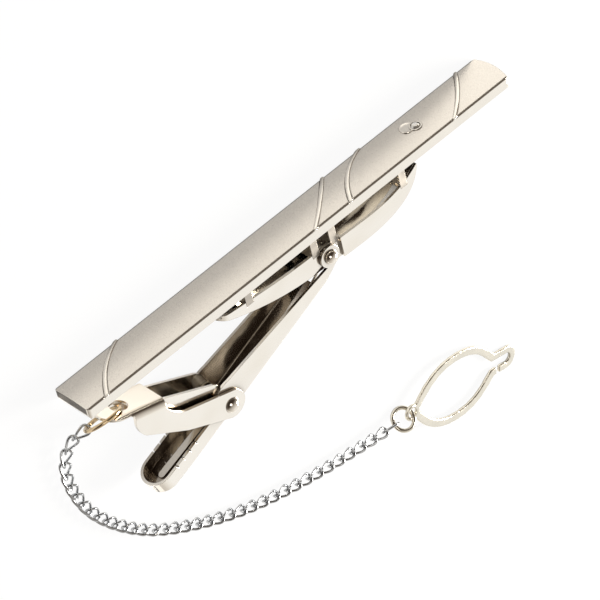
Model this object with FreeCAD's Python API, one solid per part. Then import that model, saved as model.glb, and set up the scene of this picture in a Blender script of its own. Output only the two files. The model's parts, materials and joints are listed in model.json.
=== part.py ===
import FreeCAD, Part
import math
import os

# A tie clip: a slim bar, a spring-loaded clamp arm with a tilting jaw on its back, and a safety
# chain with a button loop. It lies on one long side of the bar, so both hinge pins stand upright.
# X runs along the bar toward the chain's end, Y from the bar's face to its back, Z is up.
# The origin is the middle of the long side face that the bar lies on. Sizes are in millimetres.

# Bar
BAR_LENGTH = 58.5
BAR_WIDTH = 5.05
BAR_THICKNESS = 1.5
FACE_CROWN = 0.12
FACE_CHAMFER = 0.24
BACK_CHAMFER = 0.15
END_BEVEL = 0.22
END_BEVEL_HEIGHT = 0.55
END_BULGE = 0.3
END_CORNER = 0.4
LINE_WIDTH = 0.18
LINE_DEPTH = 0.18
BEAD_WIDTH = 0.32
BEAD_HEIGHT = 0.08
# Relief lines: place along the bar at the lower edge, lean over the width, bow at the middle
RELIEF_LINES = ((20.7, 5.7, 0.8), (-7.5, 5.8, -0.2), (-12.7, 6.0, 1.1), (-26.6, 5.2, -0.45))

# Stone
STONE_RADIUS = 0.55
STONE_FROM_MIDDLE = 18.0
STONE_SINK = 0.35
STONE_RISE = 0.22
STONE_FACETS = 8
BEZEL_WALL = 0.16
BEZEL_RISE = 0.08
BOWL_RADIUS = 0.62
BOWL_DEPTH = 0.22
BOWL_OFFSET = 0.95
BOWL_DROP = 0.3

# Sheet metal and pins
SHEET = 0.3
COVER_SHEET = 0.34
SIDE_CLEARANCE = 0.06
SEAT_CLEARANCE = 0.02
TABLE_CLEARANCE = 0.02
PIN_RADIUS = 0.45
PIN_CLEARANCE = 0.03
ARM_HEAD_RADIUS = 0.78
ARM_HEAD_HEIGHT = 0.42
JAW_HEAD_RADIUS = 0.85
JAW_HEAD_HEIGHT = 0.21

# Hinge places: the arm pin on the bar, the jaw pin on the arm
ARM_PIN_X = -2.8
ARM_PIN_BEHIND = 3.7
JAW_PIN_ALONG = 17.7
JAW_PIN_OUT = 0.9
ARM_OPEN = 22.0
JAW_OPEN = 16.6

# Half widths of the nested channels, from the jaw cover inward
COVER_HALF = BAR_WIDTH / 2 - JAW_HEAD_HEIGHT - SEAT_CLEARANCE - TABLE_CLEARANCE
ARM_HALF = COVER_HALF - COVER_SHEET - SIDE_CLEARANCE
NEST_HALF = ARM_HALF - SHEET - SIDE_CLEARANCE

# Clamp arm, along and out from the arm pin
ARM_TIP = 29.0
ARM_BACK = 2.1
ARM_BEND = 0.45
KNOB_RADIUS = 1.25
WEB_START = 2.9
LOW_RIM = 0.3
TIP_START = 20.2
TIP_RISE = 0.5
TEETH = 4
TOOTH_PITCH = 1.0
TOOTH_DEPTH = 0.32
FIRST_TOOTH = 22.6
RIB_WIDTH = 0.8
RIB_HEIGHT = 0.22
NECK_ALONG = 0.9
NECK_OUT = 0.75
EAR_TOP = -1.4
EAR_LEAD = 1.5
EAR_TRAIL = 1.4
EAR_DROP = 0.45
RIM_FALL = 0.2
# Room in front of the folded channels, past all that they hold
OPEN_ROOM = 6.0

# Jaw, along and out from the jaw pin
TONGUE_FRONT = -4.27
TONGUE_END = 15.65
TONGUE_STEP = 0.3
BRIDGE_START = 8.7
BRIDGE_END = 12.6
COVER_BEND = 0.85
HOLE_ALONG = 12.9
HOLE_RADIUS = 0.97
CHANNEL_END = 11.2
FLOOR_START = 1.7
# Side outline of the cover's ears: round end, notch before the bridge, curve under the bridge, knee
EAR_END = ((0.4, 1.45), (-1.7, -0.05), (-0.3, -1.64))
NOTCH_START = (6.0, -1.85)
NOTCH_MIDDLE = (7.7, -2.5)
UNDER_MIDDLE = (-0.35, -2.3)
UNDER_END = (-1.4, -1.2)
EAR_KNEE = (5.7, 0.52)
TONGUE_HALF = COVER_HALF - TONGUE_STEP

# Base bridge
BASE_LEFT = 11.7
BASE_RIGHT = -15.7
BASE_STEP = -4.5
# Back and front line of the bridge: place along the bar, distance behind it
BRIDGE_BACK = ((BASE_LEFT, 1.7), (7.2, 3.35), (1.5, 4.6), (-4.0, 4.95), (-10.2, 4.95), (-14.0, 3.6),
               (BASE_RIGHT, 1.2))
BRIDGE_FRONT = ((BASE_RIGHT, 0.9), (-13.2, 2.1), (-5.0, 2.5), (1.0, 2.35), (7.4, 1.8), (BASE_LEFT, 1.3))
LUG_LENGTH = 0.9
LUG_GRIP = 0.45
LUG_PLACES = (7.6, -1.4, -3.9, -13.6)

# Springs
SPRING_WIRE = 0.26
SPRING_PITCH = 0.34
SPRING_SIDES = 8
WIRE_SIDES = 6
RING_SIDES = 24

# Safety chain
RING_RADIUS = 2.0
RING_WIRE = 0.45
RING_LEAN = 55.0
RING_TURN = 4.0
RING_HOOK = 30.0
LINK_WIRE = 0.34
LINK_PITCH = 1.53
LINK_SLACK = 0.15
LINK_INSIDE = 0.76
LINK_STRETCHES = 4
CHAIN_HEIGHT = 0.72
CHAIN_END_X = -7.95
CHAIN_END_Y = 34.5
# The chain's course over the table; near its ends each place has a share of the climb to its ring
CHAIN_FALLING = ((30.4, 6.3, 0.3), (31.2, 8.9, 0.03))
CHAIN_LYING = ((31.0, 11.8), (30.2, 14.7), (28.8, 17.5), (26.8, 20.3), (23.8, 23.4), (19.6, 26.4),
               (13.5, 29.6), (6.8, 31.9), (-0.1, 33.5))
CHAIN_RISING = ((-4.6, 34.25, 0.2),)
END_RING_RADIUS = 1.25
END_RING_WIRE = 0.46
END_RING_ROLL = 45.0

# Button loop, along and across from its ring hole
LOOP_LENGTH = 14.3
LOOP_HALF = 4.3
LOOP_BAND = 0.95
LOOP_HEIGHT = 0.4
# Outside of the loop from its ring end to its nub: shares of its length and half width
LOOP_OUTSIDE = ((0.0, 0.0), (0.083, 0.4), (0.266, 0.855), (0.5, 1.0), (0.72, 0.83), (0.83, 0.57),
                (0.916, 0.295), (1.0, 0.0))
EYE_RADIUS = 0.58
EYE_WALL = 0.4
NUB_REACH = 16.3
NUB_HALF = 1.4
NUB_BAND = 0.85
NUB_GAP = 0.4
LOOP_HEADING = 165.0

BACK = BAR_THICKNESS / 2
MIDDLE = BAR_WIDTH / 2
THROUGH = 2 * BAR_WIDTH
ARM_PIVOT = FreeCAD.Vector(ARM_PIN_X, BACK + ARM_PIN_BEHIND, MIDDLE)


def vec(x, y, z=0.0):
    return FreeCAD.Vector(x, y, z)


def polygon(points):
    return Part.makePolygon(points + [points[0]])


def prism(wire, direction):
    return Part.Face(wire).extrude(direction)


def arc(start, middle, end):
    return Part.Arc(start, middle, end).toShape()


def line(start, end):
    return Part.LineSegment(start, end).toShape()


def curve(points):
    spline = Part.BSplineCurve()
    spline.interpolate(points)
    return spline.toShape()


def pin_solid(radius, reach, head_radius, head_height, head_gap):
    """An upright rivet through the middle height with a domed head at each end."""
    shank = Part.makeCylinder(radius, 2 * (reach + head_gap), vec(0, 0, -reach - head_gap))
    ball_radius = (head_radius ** 2 + head_height ** 2) / (2 * head_height)
    ball = Part.makeSphere(ball_radius, vec(0, 0, reach + head_gap + head_height - ball_radius))
    room = Part.makeCylinder(head_radius + head_height, head_height, vec(0, 0, reach + head_gap))
    head = ball.common(room)
    other_head = head.mirror(vec(0, 0, 0), vec(0, 0, 1))
    return shank.fuse(head).fuse(other_head).removeSplitter()


def channel_section(half, floor, bend, opening, side):
    """Outline of a channel's outside across its length: walls at +-half, a floor with round bends.

    side is +1 where the floor is at the back of the walls and -1 where it is at the front.
    """
    turn = bend * (1 - math.sqrt(0.5))
    knee = floor - side * bend
    edges = [
        line(vec(0, opening, -half), vec(0, knee, -half)),
        arc(vec(0, knee, -half), vec(0, floor - side * turn, turn - half), vec(0, floor, bend - half)),
        line(vec(0, floor, bend - half), vec(0, floor, half - bend)),
        arc(vec(0, floor, half - bend), vec(0, floor - side * turn, half - turn), vec(0, knee, half)),
        line(vec(0, knee, half), vec(0, opening, half)),
        line(vec(0, opening, half), vec(0, opening, -half)),
    ]
    return Part.Wire(edges)


def front_bar():
    """The bar: crowned face with chamfers, a bevelled and a bulged end, relief lines and stone seat."""
    front = -BACK
    half_length = BAR_LENGTH / 2
    section = Part.Wire([
        line(vec(-half_length, BACK - BACK_CHAMFER, 0), vec(-half_length, front + FACE_CHAMFER, 0)),
        line(vec(-half_length, front + FACE_CHAMFER, 0),
             vec(-half_length, front + FACE_CROWN, FACE_CHAMFER)),
        arc(vec(-half_length, front + FACE_CROWN, FACE_CHAMFER), vec(-half_length, front, MIDDLE),
            vec(-half_length, front + FACE_CROWN, BAR_WIDTH - FACE_CHAMFER)),
        line(vec(-half_length, front + FACE_CROWN, BAR_WIDTH - FACE_CHAMFER),
             vec(-half_length, front + FACE_CHAMFER, BAR_WIDTH)),
        line(vec(-half_length, front + FACE_CHAMFER, BAR_WIDTH),
             vec(-half_length, BACK - BACK_CHAMFER, BAR_WIDTH)),
        line(vec(-half_length, BACK - BACK_CHAMFER, BAR_WIDTH),
             vec(-half_length, BACK, BAR_WIDTH - BACK_CHAMFER)),
        line(vec(-half_length, BACK, BAR_WIDTH - BACK_CHAMFER), vec(-half_length, BACK, BACK_CHAMFER)),
        line(vec(-half_length, BACK, BACK_CHAMFER), vec(-half_length, BACK - BACK_CHAMFER, 0)),
    ])
    stock = prism(section, vec(BAR_LENGTH, 0, 0))
    side = polygon([
        vec(-half_length, front - 1, 0), vec(half_length, front - 1, 0),
        vec(half_length, BACK - END_BEVEL_HEIGHT, 0), vec(half_length - END_BEVEL, BACK, 0),
        vec(half_length - END_BEVEL, BACK + 1, 0), vec(-half_length, BACK + 1, 0)])
    plan = prism(bar_plan(), vec(0, BAR_THICKNESS + 2, 0)).translated(vec(0, front - 1, 0))
    bar = stock.common(prism(side, vec(0, 0, BAR_WIDTH))).common(plan)

    raised = stock.translated(vec(0, -BEAD_HEIGHT, 0))
    deep = stock.translated(vec(0, LINE_DEPTH, 0))
    for low, lean, bow in RELIEF_LINES:
        bead = swoosh(low + LINE_WIDTH, lean, bow, BEAD_WIDTH)
        bar = bar.fuse(bead.common(raised))
        for start in (low, low + LINE_WIDTH + BEAD_WIDTH):
            bar = bar.cut(swoosh(start, lean, bow, LINE_WIDTH).cut(deep))

    stone_seat = Part.makeCylinder(
        STONE_RADIUS + BEZEL_WALL, STONE_SINK + 1, vec(-STONE_FROM_MIDDLE, front - 1, MIDDLE), vec(0, 1, 0))
    bowl_ball = (BOWL_RADIUS ** 2 + BOWL_DEPTH ** 2) / (2 * BOWL_DEPTH)
    bowl = Part.makeSphere(
        bowl_ball, vec(BOWL_OFFSET - STONE_FROM_MIDDLE, front + BOWL_DEPTH - bowl_ball, MIDDLE - BOWL_DROP))
    return bar.cut(bowl).cut(stone_seat).removeSplitter()


def bar_plan():
    """The bar's outline seen from its face: one straight end, one bulged end, all corners round."""
    half_length = BAR_LENGTH / 2
    turn = END_CORNER * (1 - math.sqrt(0.5))
    bulge_end = END_BULGE - half_length
    far = BAR_WIDTH - END_CORNER
    edges = []
    for side in (-1, 1):
        low = MIDDLE - side * MIDDLE
        inner = low + side * END_CORNER
        edges.append(arc(vec(half_length - END_CORNER, 0, low), vec(half_length - turn, 0, low + side * turn),
                         vec(half_length, 0, inner)))
        edges.append(arc(vec(bulge_end + END_CORNER, 0, low), vec(bulge_end + turn, 0, low + side * turn),
                         vec(bulge_end, 0, inner)))
        edges.append(line(vec(half_length - END_CORNER, 0, low), vec(bulge_end + END_CORNER, 0, low)))
    edges.append(line(vec(half_length, 0, END_CORNER), vec(half_length, 0, far)))
    edges.append(arc(vec(bulge_end, 0, END_CORNER), vec(-half_length, 0, MIDDLE), vec(bulge_end, 0, far)))
    return Part.Wire(Part.sortEdges(edges)[0])


def swoosh(low, lean, bow, width):
    """A curved band across the bar's face, through the whole face layer."""
    top = -BACK - 1
    near = [vec(low, top, -0.01), vec(low + lean / 2 + bow, top, MIDDLE),
            vec(low + lean, top, BAR_WIDTH + 0.01)]
    far = [point + vec(width, 0, 0) for point in near]
    outline = Part.Wire([arc(*near), line(near[2], far[2]), arc(*reversed(far)), line(far[0], near[0])])
    return prism(outline, vec(0, 1 + FACE_CHAMFER, 0))


def gem_ring(radius, depth):
    points = []
    for step in range(STONE_FACETS):
        angle = 2 * math.pi * (step + 0.5) / STONE_FACETS
        points.append(vec(radius * math.cos(angle), depth, radius * math.sin(angle)))
    return polygon(points)


def crystal():
    """The faceted stone, its girdle level with the bar's face."""
    stone = Part.makeLoft([
        gem_ring(STONE_RADIUS * 0.3, STONE_SINK - SEAT_CLEARANCE),
        gem_ring(STONE_RADIUS - SEAT_CLEARANCE, 0.0),
        gem_ring(STONE_RADIUS * 0.6, -STONE_RISE)], True, True)
    return stone.translated(vec(-STONE_FROM_MIDDLE, -BACK, MIDDLE))


def stone_bezel():
    """The polished rim round the stone, pressed in the bar."""
    outside = STONE_RADIUS + BEZEL_WALL - SEAT_CLEARANCE
    height = STONE_SINK + BEZEL_RISE - SEAT_CLEARANCE
    outer = Part.makeCylinder(outside, height, vec(0, -BEZEL_RISE, 0), vec(0, 1, 0))
    inner = Part.makeCylinder(STONE_RADIUS, STONE_SINK + BEZEL_RISE + 1, vec(0, -BEZEL_RISE, 0), vec(0, 1, 0))
    return outer.cut(inner).translated(vec(-STONE_FROM_MIDDLE, -BACK, MIDDLE))


def bridge_back(inset):
    """Back line of the bridge in plan, from its tip under the arm to its far end, moved in by inset."""
    return [vec(x, BACK + behind - inset, 0) for x, behind in BRIDGE_BACK]


def bridge_front():
    """Front line of the bridge's walls in plan, from the far end to the tip under the arm."""
    return [vec(x, BACK + behind, 0) for x, behind in BRIDGE_FRONT]


def bridge_front_at(x):
    """How far behind the bar the wall's front edge is at one place along the bar."""
    cut = line(vec(x, BACK - 1, 0), vec(x, BACK + 9, 0))
    return curve(bridge_front()).distToShape(cut)[1][0][0].y


def bridge_block(back_points, front_points, low_x, high_x, half):
    back_line = curve(back_points)
    front_line = curve(front_points)
    outline = Part.Wire([
        back_line, line(back_points[-1], front_points[0]),
        front_line, line(front_points[-1], back_points[0])])
    block = prism(outline, vec(0, 0, 2 * half)).translated(vec(0, 0, MIDDLE - half))
    room = Part.makeBox(high_x - low_x, 20, 2 * half, vec(low_x, BACK - 5, MIDDLE - half))
    return block.common(room)


def base_bridge():
    """The bowed channel that carries the arm pin: narrow where the arm folds over it, wide beyond."""
    back = bridge_back(0)
    front = bridge_front()
    outer = bridge_block(back, front, BASE_STEP, BASE_LEFT, NEST_HALF)
    outer = outer.fuse(bridge_block(back, front, BASE_RIGHT, BASE_STEP, ARM_HALF))
    inner_back = bridge_back(SHEET)
    inner_front = [point + vec(0, -4, 0) for point in front]
    cavity = bridge_block(inner_back, inner_front, BASE_STEP - SHEET, BASE_LEFT, NEST_HALF - SHEET)
    wide_cavity = bridge_block(inner_back, inner_front, BASE_RIGHT, BASE_STEP - SHEET, ARM_HALF - SHEET)
    cavity = cavity.fuse(wide_cavity)
    bridge = outer.cut(cavity)
    tip_round = Part.Wire([
        line(vec(BASE_RIGHT - 1, 0, MIDDLE - ARM_HALF), vec(BASE_LEFT - NEST_HALF, 0, MIDDLE - ARM_HALF)),
        line(vec(BASE_LEFT - NEST_HALF, 0, MIDDLE - ARM_HALF),
             vec(BASE_LEFT - NEST_HALF, 0, MIDDLE - NEST_HALF)),
        arc(vec(BASE_LEFT - NEST_HALF, 0, MIDDLE - NEST_HALF), vec(BASE_LEFT, 0, MIDDLE),
            vec(BASE_LEFT - NEST_HALF, 0, MIDDLE + NEST_HALF)),
        line(vec(BASE_LEFT - NEST_HALF, 0, MIDDLE + NEST_HALF),
             vec(BASE_LEFT - NEST_HALF, 0, MIDDLE + ARM_HALF)),
        line(vec(BASE_LEFT - NEST_HALF, 0, MIDDLE + ARM_HALF), vec(BASE_RIGHT - 1, 0, MIDDLE + ARM_HALF)),
        line(vec(BASE_RIGHT - 1, 0, MIDDLE + ARM_HALF), vec(BASE_RIGHT - 1, 0, MIDDLE - ARM_HALF)),
    ])
    bridge = bridge.common(prism(tip_round, vec(0, 20, 0)))
    bore = Part.makeCylinder(PIN_RADIUS + SEAT_CLEARANCE, THROUGH, ARM_PIVOT - vec(0, 0, THROUGH / 2))
    bridge = bridge.cut(bore)
    for x in LUG_PLACES:
        bridge = bridge.cut(lug_block(x, SEAT_CLEARANCE))
    return bridge.removeSplitter()


def lug_block(x, clearance):
    """A lug's block from the bar's back into the bridge's walls, grown by the clearance."""
    half = lug_half(x)
    top = bridge_front_at(x) + LUG_GRIP
    return Part.makeBox(
        LUG_LENGTH + 2 * clearance, top - BACK + 2 * clearance, 2 * (half + clearance),
        vec(x - LUG_LENGTH / 2 - clearance, BACK - clearance, MIDDLE - half - clearance))


def lug_half(x):
    return ARM_HALF if x < BASE_STEP else NEST_HALF


def lug(x):
    """One lug that stands on the bar's back and holds the bridge."""
    return lug_block(x, 0).translated(vec(0, SEAT_CLEARANCE, 0))


def arm_pin():
    pin = pin_solid(PIN_RADIUS, ARM_HALF, ARM_HEAD_RADIUS, ARM_HEAD_HEIGHT, SIDE_CLEARANCE)
    return pin.translated(ARM_PIVOT)


def coil_spring():
    """A torsion spring about the upright axis, centred on the middle height, wound in short stretches."""
    mean_radius = (PIN_RADIUS + PIN_CLEARANCE + SPRING_WIRE / 2) / math.cos(math.pi / SPRING_SIDES)
    room = 2 * (NEST_HALF - SHEET - SEAT_CLEARANCE) - SPRING_WIRE
    turns = int(room / SPRING_PITCH)
    points = []
    for step in range(turns * SPRING_SIDES + 1):
        angle = 2 * math.pi * step / SPRING_SIDES
        height = SPRING_PITCH * (step / SPRING_SIDES - turns / 2)
        points.append(vec(mean_radius * math.cos(angle), mean_radius * math.sin(angle), height))
    heading = points[1] - points[0]
    across = heading.cross(vec(0, 0, 1)).normalize()
    upward = across.cross(heading).normalize()
    corners = []
    for step in range(WIRE_SIDES):
        angle = 2 * math.pi * step / WIRE_SIDES
        corners.append(points[0] + (across * math.cos(angle) + upward * math.sin(angle)) * (SPRING_WIRE / 2))
    return Part.Wire(Part.makePolygon(points)).makePipeShell([polygon(corners)], True, False, 1)


def closed_wire(corners, wire):
    """A flat closed run of wire in straight stretches, mitred where they meet."""
    rows = []
    for index, corner in enumerate(corners):
        before = (corner - corners[index - 1]).normalize()
        after = (corners[(index + 1) % len(corners)] - corner).normalize()
        across = (before + after).cross(vec(0, 0, 1)).normalize()
        mitre = math.sqrt((1 + before.dot(after)) / 2)
        row = []
        for step in range(WIRE_SIDES):
            angle = 2 * math.pi * step / WIRE_SIDES
            sideways = across * (wire / 2 * math.cos(angle) / mitre)
            row.append(corner + sideways + vec(0, 0, wire / 2 * math.sin(angle)))
        rows.append(row)
    faces = []
    for index, row in enumerate(rows):
        following = rows[(index + 1) % len(rows)]
        for step in range(WIRE_SIDES):
            beside = (step + 1) % WIRE_SIDES
            faces.append(Part.Face(polygon([row[step], following[step], following[beside], row[beside]])))
    return Part.makeSolid(Part.makeShell(faces))


def round_ring(radius, wire):
    corners = []
    for step in range(RING_SIDES):
        angle = 2 * math.pi * step / RING_SIDES
        corners.append(vec(radius * math.cos(angle), radius * math.sin(angle)))
    return closed_wire(corners, wire)


def arm_spring():
    return coil_spring().translated(ARM_PIVOT)


def arm_outline():
    """Side outline of the arm's walls, along and out from the arm pin."""
    ear_start = JAW_PIN_ALONG - EAR_LEAD
    rim_end = LOW_RIM - RIM_FALL
    return Part.Wire([
        line(vec(NECK_ALONG, NECK_OUT), vec(ear_start, EAR_TOP)),
        arc(vec(ear_start, EAR_TOP), vec(JAW_PIN_ALONG + EAR_TRAIL, EAR_TOP + EAR_DROP),
            vec(TIP_START, LOW_RIM)),
        line(vec(TIP_START, LOW_RIM), vec(ARM_TIP, rim_end)),
        line(vec(ARM_TIP, rim_end), vec(ARM_TIP, ARM_BACK - TIP_RISE)),
        line(vec(ARM_TIP, ARM_BACK - TIP_RISE), vec(TIP_START, ARM_BACK)),
        line(vec(TIP_START, ARM_BACK), vec(WEB_START, ARM_BACK)),
        line(vec(WEB_START, ARM_BACK), vec(0, KNOB_RADIUS)),
        line(vec(0, KNOB_RADIUS), vec(NECK_ALONG, NECK_OUT)),
    ])


def arm_hollow():
    """Side outline of the room inside the arm, down to the web's inner face."""
    floor = ARM_BACK - SHEET
    return polygon([
        vec(-KNOB_RADIUS, -OPEN_ROOM), vec(ARM_TIP, -OPEN_ROOM), vec(ARM_TIP, floor - TIP_RISE),
        vec(TIP_START, floor), vec(-KNOB_RADIUS, floor)])


def tip_plan(half, length):
    """Plan of the arm seen from its open side, with the round tip."""
    return Part.Wire([
        line(vec(-KNOB_RADIUS, 0, -half), vec(length - half, 0, -half)),
        arc(vec(length - half, 0, -half), vec(length, 0, 0), vec(length - half, 0, half)),
        line(vec(length - half, 0, half), vec(-KNOB_RADIUS, 0, half)),
        line(vec(-KNOB_RADIUS, 0, half), vec(-KNOB_RADIUS, 0, -half)),
    ])


def clamp_arm():
    """The clamp arm: a folded channel, open toward the bar, with an ear at each pin and a toothed tip."""
    walls = prism(arm_outline(), vec(0, 0, 2 * ARM_HALF)).translated(vec(0, 0, -ARM_HALF))
    knob = Part.makeCylinder(KNOB_RADIUS, 2 * ARM_HALF, vec(0, 0, -ARM_HALF))
    section = channel_section(ARM_HALF, ARM_BACK, ARM_BEND, -OPEN_ROOM, 1)
    folded = prism(section, vec(ARM_TIP + KNOB_RADIUS, 0, 0))
    folded = folded.translated(vec(-KNOB_RADIUS, 0, 0))
    rounded = prism(tip_plan(ARM_HALF, ARM_TIP), vec(0, 2 * OPEN_ROOM, 0)).translated(vec(0, -OPEN_ROOM, 0))
    outside = walls.fuse(knob).common(folded).common(rounded)

    inner_half = ARM_HALF - SHEET
    cavity = prism(channel_section(inner_half, ARM_BACK - SHEET, ARM_BEND - SHEET, -OPEN_ROOM, 1),
                   vec(ARM_TIP + KNOB_RADIUS, 0, 0)).translated(vec(-KNOB_RADIUS, 0, 0))
    inner_round = prism(tip_plan(inner_half, ARM_TIP - SHEET), vec(0, 2 * OPEN_ROOM, 0))
    inner_round = inner_round.translated(vec(0, -OPEN_ROOM, 0))
    hollow = prism(arm_hollow(), vec(0, 0, 2 * inner_half)).translated(vec(0, 0, -inner_half))
    cavity = cavity.common(inner_round).common(hollow)
    window = Part.makeBox(WEB_START + KNOB_RADIUS, 8, 2 * inner_half, vec(-KNOB_RADIUS, -3, -inner_half))
    arm = outside.cut(cavity).cut(window)

    for tooth in range(TEETH):
        along = FIRST_TOOTH + tooth * TOOTH_PITCH
        notch = polygon([vec(along, LOW_RIM - 1), vec(along + TOOTH_PITCH / 2, LOW_RIM - 1),
                         vec(along + TOOTH_PITCH / 4, LOW_RIM + TOOTH_DEPTH)])
        arm = arm.cut(prism(notch, vec(0, 0, THROUGH)).translated(vec(0, 0, -THROUGH / 2)))

    arm = arm.fuse(tip_rib())
    for along, out in ((0, 0), (JAW_PIN_ALONG, JAW_PIN_OUT)):
        bore = Part.makeCylinder(PIN_RADIUS + PIN_CLEARANCE, THROUGH, vec(along, out, -THROUGH / 2))
        arm = arm.cut(bore)
    return on_arm(arm.removeSplitter())


def tip_rib():
    """The stiffening rib raised on the inside of the arm's tip, round at both ends."""
    length = ARM_TIP - TIP_START - ARM_HALF - SHEET
    rib = Part.makeBox(length, RIB_HEIGHT + SHEET / 2, RIB_WIDTH, vec(0, -RIB_HEIGHT, -RIB_WIDTH / 2))
    for along in (0, length):
        rib = rib.fuse(Part.makeCylinder(
            RIB_WIDTH / 2, RIB_HEIGHT + SHEET / 2, vec(along, -RIB_HEIGHT, 0), vec(0, 1, 0)))
    slope = math.degrees(math.atan2(TIP_RISE, ARM_TIP - TIP_START))
    rib.rotate(vec(0, 0, 0), vec(0, 0, 1), -slope)
    return rib.translated(vec(TIP_START + RIB_WIDTH / 2, ARM_BACK - SHEET, 0))


def on_arm(shape):
    """Moves a piece drawn along and out from the arm pin to its place, the arm open as it lies."""
    placed = shape.copy()
    placed.rotate(vec(0, 0, 0), vec(0, 0, 1), ARM_OPEN)
    return placed.translated(ARM_PIVOT)


def jaw_pivot():
    turn = FreeCAD.Rotation(vec(0, 0, 1), ARM_OPEN)
    return ARM_PIVOT + turn.multVec(vec(JAW_PIN_ALONG, JAW_PIN_OUT))


def on_jaw(shape):
    """Moves a piece drawn along and out from the jaw pin to its place, the jaw tilted as it lies."""
    placed = shape.copy()
    placed.rotate(vec(0, 0, 0), vec(0, 0, 1), -JAW_OPEN)
    return placed.translated(jaw_pivot())


def cover_outline():
    """Side outline of the jaw cover: round ear end, notched front edge, bridge, tongue and curved ear end."""
    inner = TONGUE_FRONT + COVER_SHEET
    ear_end = [vec(along, out) for along, out in EAR_END]
    under_middle = vec(BRIDGE_END + UNDER_MIDDLE[0], UNDER_MIDDLE[1])
    under_end = vec(BRIDGE_END + UNDER_END[0], UNDER_END[1])
    return Part.Wire([
        arc(*ear_end),
        line(ear_end[2], vec(*NOTCH_START)),
        arc(vec(*NOTCH_START), vec(*NOTCH_MIDDLE), vec(BRIDGE_START, TONGUE_FRONT + COVER_BEND)),
        line(vec(BRIDGE_START, TONGUE_FRONT + COVER_BEND), vec(BRIDGE_START, TONGUE_FRONT)),
        line(vec(BRIDGE_START, TONGUE_FRONT), vec(TONGUE_END, TONGUE_FRONT)),
        line(vec(TONGUE_END, TONGUE_FRONT), vec(TONGUE_END, inner)),
        line(vec(TONGUE_END, inner), vec(BRIDGE_END, inner)),
        arc(vec(BRIDGE_END, inner), under_middle, under_end),
        line(under_end, vec(*EAR_KNEE)),
        line(vec(*EAR_KNEE), ear_end[0]),
    ])


def tongue_plan():
    """Plan of the cover seen from the bar: full width at the bridge, a narrower round tongue beyond."""
    step = BRIDGE_END + COVER_HALF - TONGUE_HALF
    straight = TONGUE_END - TONGUE_HALF
    return Part.Wire([
        line(vec(-3, 0, -COVER_HALF), vec(BRIDGE_END, 0, -COVER_HALF)),
        line(vec(BRIDGE_END, 0, -COVER_HALF), vec(step, 0, -TONGUE_HALF)),
        line(vec(step, 0, -TONGUE_HALF), vec(straight, 0, -TONGUE_HALF)),
        arc(vec(straight, 0, -TONGUE_HALF), vec(TONGUE_END, 0, 0), vec(straight, 0, TONGUE_HALF)),
        line(vec(straight, 0, TONGUE_HALF), vec(step, 0, TONGUE_HALF)),
        line(vec(step, 0, TONGUE_HALF), vec(BRIDGE_END, 0, COVER_HALF)),
        line(vec(BRIDGE_END, 0, COVER_HALF), vec(-3, 0, COVER_HALF)),
        line(vec(-3, 0, COVER_HALF), vec(-3, 0, -COVER_HALF)),
    ])


def jaw_cover():
    """The jaw's front stamping: tongue with the ring's hole, bridge, and two ears outside the arm."""
    length = TONGUE_END + OPEN_ROOM
    block = prism(cover_outline(), vec(0, 0, 2 * COVER_HALF)).translated(vec(0, 0, -COVER_HALF))
    folded = prism(channel_section(COVER_HALF, TONGUE_FRONT, COVER_BEND, OPEN_ROOM, -1), vec(length, 0, 0))
    plan = prism(tongue_plan(), vec(0, 2 * OPEN_ROOM, 0)).translated(vec(0, -OPEN_ROOM, 0))
    outside = block.common(folded.translated(vec(-3, 0, 0))).common(plan)
    inner_section = channel_section(
        COVER_HALF - COVER_SHEET, TONGUE_FRONT + COVER_SHEET, COVER_BEND - COVER_SHEET, OPEN_ROOM, -1)
    cavity = prism(inner_section, vec(length, 0, 0))
    cover = outside.cut(cavity.translated(vec(-3, 0, 0)))
    hole = Part.makeCylinder(HOLE_RADIUS, 2, vec(HOLE_ALONG, TONGUE_FRONT - 1, 0), vec(0, 1, 0))
    bore = Part.makeCylinder(PIN_RADIUS + SEAT_CLEARANCE, THROUGH, vec(0, 0, -THROUGH / 2))
    return on_jaw(cover.cut(hole).cut(bore).removeSplitter())


def jaw_channel():
    """The jaw's inner stamping: a channel open toward the bar between the arm's walls."""
    front_left = TONGUE_FRONT + COVER_SHEET + SIDE_CLEARANCE
    outline = Part.Wire([
        arc(vec(0.45, 0.62), vec(-0.77, 0.0), vec(-0.2, -0.75)),
        arc(vec(-0.2, -0.75), vec(0.55, -1.9), vec(1.9, -2.75)),
        line(vec(1.9, -2.75), vec(8.2, front_left)),
        line(vec(8.2, front_left), vec(CHANNEL_END, front_left)),
        line(vec(CHANNEL_END, front_left), vec(CHANNEL_END, -2.3)),
        line(vec(CHANNEL_END, -2.3), vec(3.2, -0.55)),
        line(vec(3.2, -0.55), vec(0.45, 0.62)),
    ])
    block = prism(outline, vec(0, 0, 2 * NEST_HALF)).translated(vec(0, 0, -NEST_HALF))
    floor_inside = Part.Wire([
        line(vec(-3, -8), vec(CHANNEL_END + 1, -8)),
        line(vec(CHANNEL_END + 1, -8), vec(CHANNEL_END + 1, -2.3 - SHEET - 0.22)),
        line(vec(CHANNEL_END + 1, -2.3 - SHEET - 0.22), vec(3.2, -0.55 - SHEET)),
        line(vec(3.2, -0.55 - SHEET), vec(FLOOR_START, -0.05)),
        line(vec(FLOOR_START, -0.05), vec(FLOOR_START, 3)),
        line(vec(FLOOR_START, 3), vec(-3, 3)),
        line(vec(-3, 3), vec(-3, -8)),
    ])
    inner_half = NEST_HALF - SHEET
    cavity = prism(floor_inside, vec(0, 0, 2 * inner_half)).translated(vec(0, 0, -inner_half))
    bore = Part.makeCylinder(PIN_RADIUS + SEAT_CLEARANCE, THROUGH, vec(0, 0, -THROUGH / 2))
    return on_jaw(block.cut(cavity).cut(bore).removeSplitter())


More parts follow.
